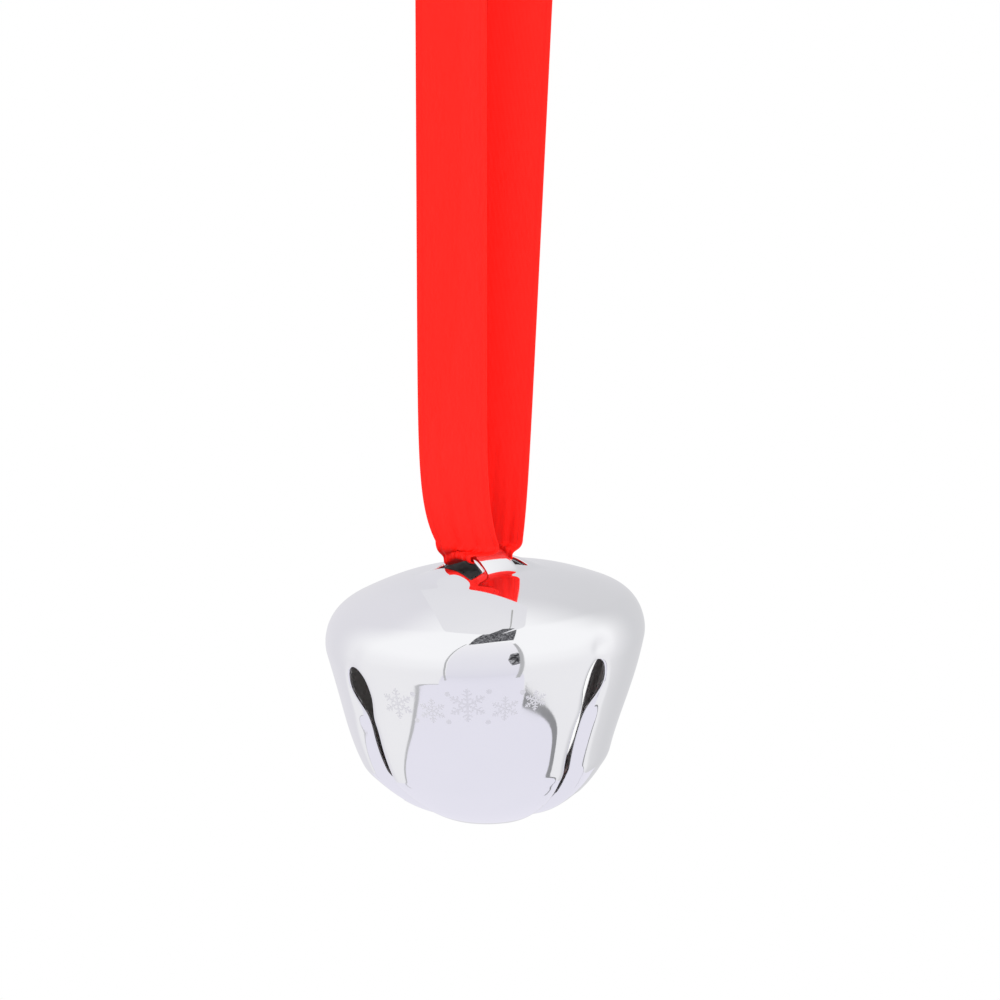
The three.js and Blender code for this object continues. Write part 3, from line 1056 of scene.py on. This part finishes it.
area_light("key_light", (-0.7, -0.9, 0.75), (0, 0, -0.12), 0.7, 8.0)
area_light("fill_light", (0.9, -0.6, 0.2), (0, 0, -0.12), 0.7, 7.0)

# ---- what the plating mirrors: a pale dome, a lavender mat with a stand, and a speckled canopy ----
# Only the mirror sees these, so they are left out of the camera's view, and of the light.

MIRROR_RISE = 8.0
mirror_centre = np.array([pivot[0], 0.0, bell_origin[2] + MIRROR_RISE]) * MM


def mirrored_only(obj):
    obj.visible_camera = False
    obj.visible_shadow = False
    obj.visible_diffuse = False
    obj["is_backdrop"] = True


def towards(azimuth, elevation, distance):
    """A place seen from the bell, by its azimuth from the front towards +X and its elevation."""
    a, e = math.radians(azimuth), math.radians(elevation)
    level = distance * math.cos(e)
    return mirror_centre + np.array([level * math.sin(a), -level * math.cos(a), distance * math.sin(e)])


def card_material(name, first, second, speckle):
    """A glow that runs from one tone at the card's foot to another at its head, and may be speckled."""
    material, nodes, links, glow = glow_material(name)
    place = nodes.new("ShaderNodeTexCoord")
    split = nodes.new("ShaderNodeSeparateXYZ")
    links.new(place.outputs["UV"], split.inputs[0])
    colour = mix_colour(nodes, links, split.outputs[1], (*first, 1), (*second, 1))
    if speckle > 0:
        grain = noise(nodes, links, place.outputs["Object"], speckle, 2.0, 0.7)
        grain = span(nodes, links, grain, 0.5, 0.6, 0.0, 1.0)
        colour = mix_colour(nodes, links, grain, colour, SPECKLE)
    links.new(colour, glow.inputs["Color"])
    return material


def card(name, corners, first, second=None, speckle=0.0):
    """A flat card. Its first two corners are its foot, and the others its head."""
    mesh = bpy.data.meshes.new(name)
    mesh.from_pydata([tuple(c) for c in corners], [], [list(range(len(corners)))])
    layer = mesh.uv_layers.new(name="UVMap")
    for i, loop in enumerate(mesh.loops):
        layer.data[i].uv = (0.5, 0.0 if loop.vertex_index < 2 else 1.0)
    mesh.materials.append(card_material(name, first, second or first, speckle))
    obj = bpy.data.objects.new(name, mesh)
    bpy.context.scene.collection.objects.link(obj)
    mirrored_only(obj)


def wall_card(name, left, right, foot, head, distance, first, second=None):
    """A card that stands between two azimuths and two elevations, in degrees as seen from the bell."""
    corners = [(left, foot), (right, foot), (right, head), (left, head)]
    card(name, [towards(a, e, distance) for a, e in corners], first, second)


GREY_LEFT = (0.80, 0.79, 0.83, 1)
GREY_RIGHT = (0.70, 0.70, 0.715, 1)
LOW_FRONT = (0.92, 0.915, 0.93, 1)
HIGH_FRONT = (1.03, 1.03, 1.035, 1)
DOME_RADIUS = 1.2


def smooth_span(nodes, links, value, low, high):
    """A smooth step between two shares of the dome's radius."""
    node = nodes.new("ShaderNodeMapRange")
    node.interpolation_type = "SMOOTHSTEP"
    links.new(value, node.inputs["Value"])
    node.inputs["From Min"].default_value = low * DOME_RADIUS
    node.inputs["From Max"].default_value = high * DOME_RADIUS
    return node.outputs["Result"]


def dome_material():
    """Bright in front and overhead, and softly greyer towards the back."""
    material, nodes, links, glow = glow_material("studio_dome")
    place = nodes.new("ShaderNodeTexCoord")
    split = nodes.new("ShaderNodeSeparateXYZ")
    links.new(place.outputs["Object"], split.inputs[0])
    x, y, z = split.outputs
    front = mix_colour(nodes, links, smooth_span(nodes, links, z, -0.3, 0.5), LOW_FRONT, HIGH_FRONT)
    back = mix_colour(nodes, links, smooth_span(nodes, links, x, -0.4, 0.4), GREY_LEFT, GREY_RIGHT)
    behind = smooth_span(nodes, links, y, 0.0, 0.72)
    overhead = smooth_span(nodes, links, z, 0.66, 0.94)
    lid = math_node(nodes, links, "SUBTRACT", 1.0, overhead)
    share = math_node(nodes, links, "MULTIPLY", behind, lid)
    links.new(mix_colour(nodes, links, share, front, back), glow.inputs["Color"])
    return material


DOME_RINGS = 24
DOME_SIDES = 48
dome_points, dome_faces = globe(DOME_RINGS, DOME_SIDES)
dome_mesh = bpy.data.meshes.new("studio_dome")
dome_mesh.from_pydata((dome_points * DOME_RADIUS).tolist(), [], dome_faces)
dome_mesh.materials.append(dome_material())
dome = bpy.data.objects.new("studio_dome", dome_mesh)
dome.location = Vector(mirror_centre)
bpy.context.scene.collection.objects.link(dome)
mirrored_only(dome)

LAVENDER = (0.86, 0.845, 0.93)
LAVENDER_DIM = (0.79, 0.78, 0.86)
LAVENDER_HEAD = (0.97, 0.96, 0.98)
EDGE_GREY = (0.52, 0.52, 0.53)
EDGE_DARK = (0.3, 0.3, 0.31)
STAND_GREY = (0.5, 0.5, 0.51)
BOOM_GREY = (0.45, 0.45, 0.44)
NEAR_BLACK = (0.04, 0.04, 0.045)
SPECKLE = (0.42, 0.42, 0.44, 1)
TABLE_LIFT = 0.004
OUTLINE_LIFT = 0.003
table = TABLE_LIFT - FLOOR_DROP


def on_table(azimuth, radius):
    a = math.radians(azimuth)
    return (radius * math.sin(a), -radius * math.cos(a), table)


MAT_MIDDLE = np.array([-0.015, -0.12, table])
MAT_HALF_WIDTH = 0.305
MAT_HALF_DEPTH = 0.25
MAT_SIDES = 60
STRIP_TURN = 42
EDGE_END = 150
EDGE_CARDS = 18


def mat_edge(turn, scale=1.0, lift=0.0):
    """A place on the edge of the oval mat, by its turn from the front towards +X in degrees."""
    a = math.radians(turn)
    reach_out = np.array([MAT_HALF_WIDTH * math.sin(a), -MAT_HALF_DEPTH * math.cos(a), 0.0])
    return MAT_MIDDLE + scale * reach_out + np.array([0.0, 0.0, lift])


def edge_line(name, side, first_width, last_width, tone):
    """A thin line round one side of the mat, whose width is a share of the mat's own."""
    turns = side * np.linspace(STRIP_TURN, EDGE_END, EDGE_CARDS + 1)
    halves = np.linspace(first_width, last_width, EDGE_CARDS + 1) / 2
    for k in range(EDGE_CARDS):
        ends = [mat_edge(turns[k], 1 + sign * halves[k], OUTLINE_LIFT) for sign in (-1, 1)]
        ends += [mat_edge(turns[k + 1], 1 + sign * halves[k + 1], OUTLINE_LIFT) for sign in (1, -1)]
        card(f"{name}_{k}", ends, tone)


card("table_mat", [mat_edge(360 * k / MAT_SIDES) for k in range(MAT_SIDES)], LAVENDER)
strip_corners = [on_table(-30, 1.1), on_table(25, 1.1), mat_edge(STRIP_TURN), mat_edge(-STRIP_TURN)]
card("table_strip", strip_corners, LAVENDER_DIM, LAVENDER)
back_corners = [on_table(a, r) for a, r in ((-100, 0.25), (100, 0.25), (150, 0.5), (-150, 0.5))]
card("table_back", back_corners, LAVENDER)
edge_line("mat_edge_left", -1, 0.045, 0.022, EDGE_GREY)
edge_line("mat_edge_right", 1, 0.11, 0.022, EDGE_DARK)

# Distances from the bell, in metres.
STAND = 0.9
NEAR = 0.5
CLAMP = 0.48
wall_card("stand_front", -27, 23, -24, 62, STAND, LAVENDER_DIM, LAVENDER_HEAD)
wall_card("stand_edge_left", -28.4, -27, -30, 61, NEAR, STAND_GREY)
wall_card("stand_edge_right", 22, 25, -30, 55, NEAR, STAND_GREY)
clamp_corners = [(17, 3), (23, 6), (25, 22), (21, 29), (16, 27), (14, 12)]
card("clamp_dark", [towards(a, e, CLAMP) for a, e in clamp_corners], NEAR_BLACK, speckle=45.0)

# The canopy's height above the bell, and its corners as shares of that height to the right and the back.
CANOPY = 0.6
canopy_corners = [(-0.24, -0.53), (0.21, -0.39), (0.08, 0.52), (0.03, 0.51)]
canopy_places = [mirror_centre + CANOPY * np.array([x, y, 1.0]) for x, y in canopy_corners]
card("canopy_speckled", canopy_places, NEAR_BLACK, speckle=90.0)

# A pale flag keeps the upper ribbon out of the crown's mirror, and carries the canopy on down.
FLAG_HEAD = 34.0
FLAG_FOOT_TONE = (0.82, 0.815, 0.845)
FLAG_TONE = (0.88, 0.876, 0.895)
FLAG_BEND = fold_height + 22
flag_left = [(-14.0, -1.5, fold_height - 3.1), (-16.0, -9.0, FLAG_BEND), (-16.0, -9.0, FLAG_HEAD)]
flag_right = [(9.0, -11.5, fold_height + 0.4), (11.0, -11.5, FLAG_BEND), (11.0, -11.5, FLAG_HEAD)]
for k, foot_tone in enumerate((FLAG_FOOT_TONE, FLAG_TONE)):
    corners = [flag_left[k], flag_right[k], flag_right[k + 1], flag_left[k + 1]]
    card(f"ribbon_flag_{k}", np.array(corners) * MM, foot_tone, FLAG_TONE)
FLAG_FRONT = -12.4
CANOPY_FOOT = -106.0
BOOM_FOOT = -126.0
canopy_foot = [(3.5, CANOPY_FOOT), (8.0, CANOPY_FOOT), (8.5, FLAG_HEAD), (-9.5, FLAG_HEAD)]
boom = [(5.5, BOOM_FOOT), (5.9, BOOM_FOOT), (6.1, CANOPY_FOOT), (5.7, CANOPY_FOOT)]
card("canopy_foot", [np.array([x, FLAG_FRONT, z]) * MM for x, z in canopy_foot], NEAR_BLACK, speckle=900.0)
card("boom", [np.array([x, FLAG_FRONT, z]) * MM for x, z in boom], BOOM_GREY)

low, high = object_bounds()
